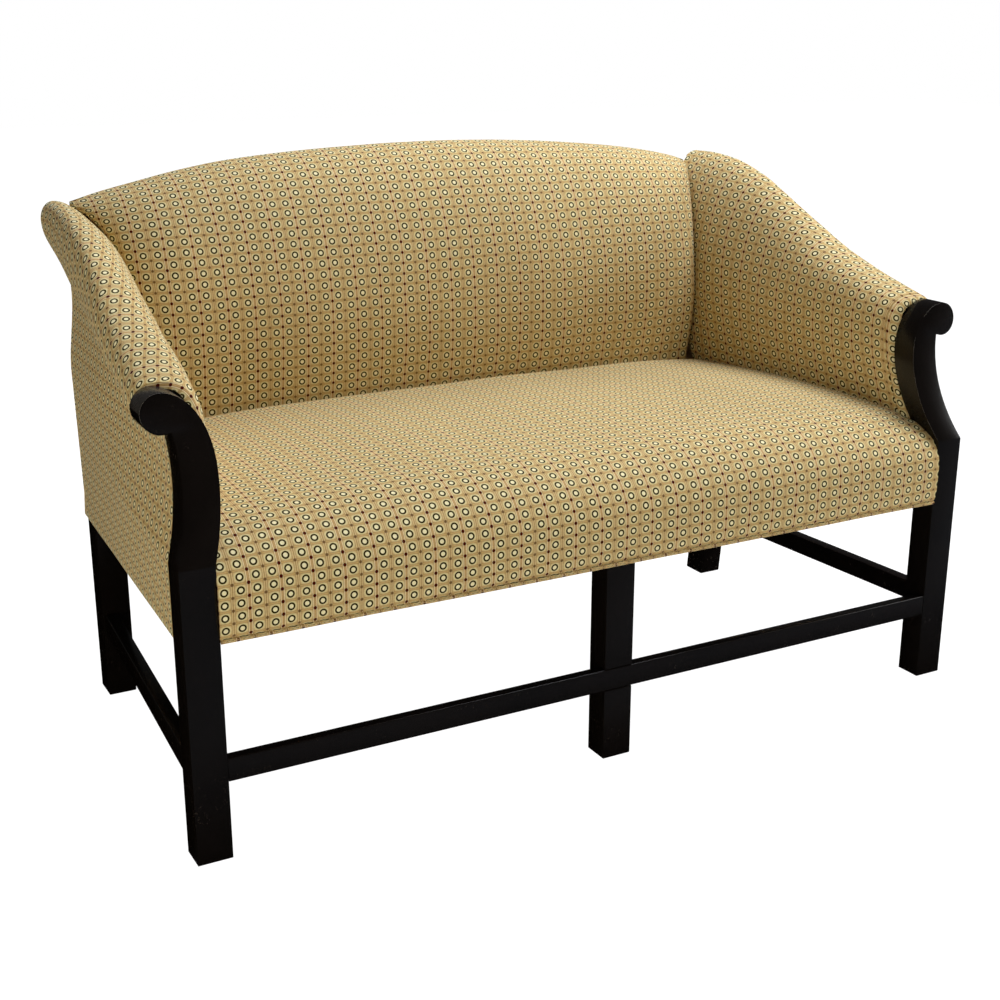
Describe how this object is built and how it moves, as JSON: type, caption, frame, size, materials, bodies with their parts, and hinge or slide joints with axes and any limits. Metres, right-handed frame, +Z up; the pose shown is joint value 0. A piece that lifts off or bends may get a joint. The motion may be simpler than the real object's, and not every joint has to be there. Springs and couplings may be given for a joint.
{
  "type": "loveseat",
  "caption": "Upholstered two-seat settee with an ebonised show-wood frame, scrolled front posts, rolled arms sweeping up to an arched back, tight seat and straight stretchers.",
  "frame": {"origin": "on the floor, under the middle of the loveseat's overall box", "axes": "+X across the seat to the sitter's left (right in the picture), +Y from the front to the back, +Z up; the front faces -Y"},
  "size_m": [1.392, 0.7436, 0.895],
  "materials": {
    "black_wood": "black lacquer over hardwood, satin",
    "frame_wood": "plain hardwood inside the upholstery, unfinished",
    "woven_fabric": "woven furnishing fabric with a small ring pattern in gold, cream and olive",
    "steel": "plain steel wire and plate",
    "jute": "jute webbing and deck cloth",
    "dust_cloth": "thin black cambric"
  },
  "bodies": {
    "root": {"front_left_post": "black_wood", "front_right_post": "black_wood", "front_middle_leg": "black_wood", "rear_left_post": "black_wood", "rear_right_post": "black_wood", "front_stretcher": "black_wood", "left_side_stretcher": "black_wood", "right_side_stretcher": "black_wood", "foot_glides": "steel", "front_seat_rail": "frame_wood", "rear_seat_rail": "frame_wood", "left_seat_rail": "frame_wood", "right_seat_rail": "frame_wood", "seat_cross_rail": "frame_wood", "corner_blocks": "frame_wood", "seat_webbing": "jute", "seat_deck": "jute", "dust_cover": "dust_cloth", "seat_pad": "woven_fabric", "front_welt": "woven_fabric", "left_welt": "woven_fabric", "right_welt": "woven_fabric", "lower_back_rail": "frame_wood", "crest_rail": "frame_wood", "left_back_stile": "frame_wood", "right_back_stile": "frame_wood", "middle_back_stile": "frame_wood", "back_webbing": "jute", "back_pad": "woven_fabric", "outside_back": "woven_fabric", "left_arm_rail": "frame_wood", "right_arm_rail": "frame_wood", "left_tack_rail": "frame_wood", "right_tack_rail": "frame_wood", "left_arm_pad": "woven_fabric", "right_arm_pad": "woven_fabric", "left_outside_arm": "woven_fabric", "right_outside_arm": "woven_fabric"}
  },
  "joints": []
}
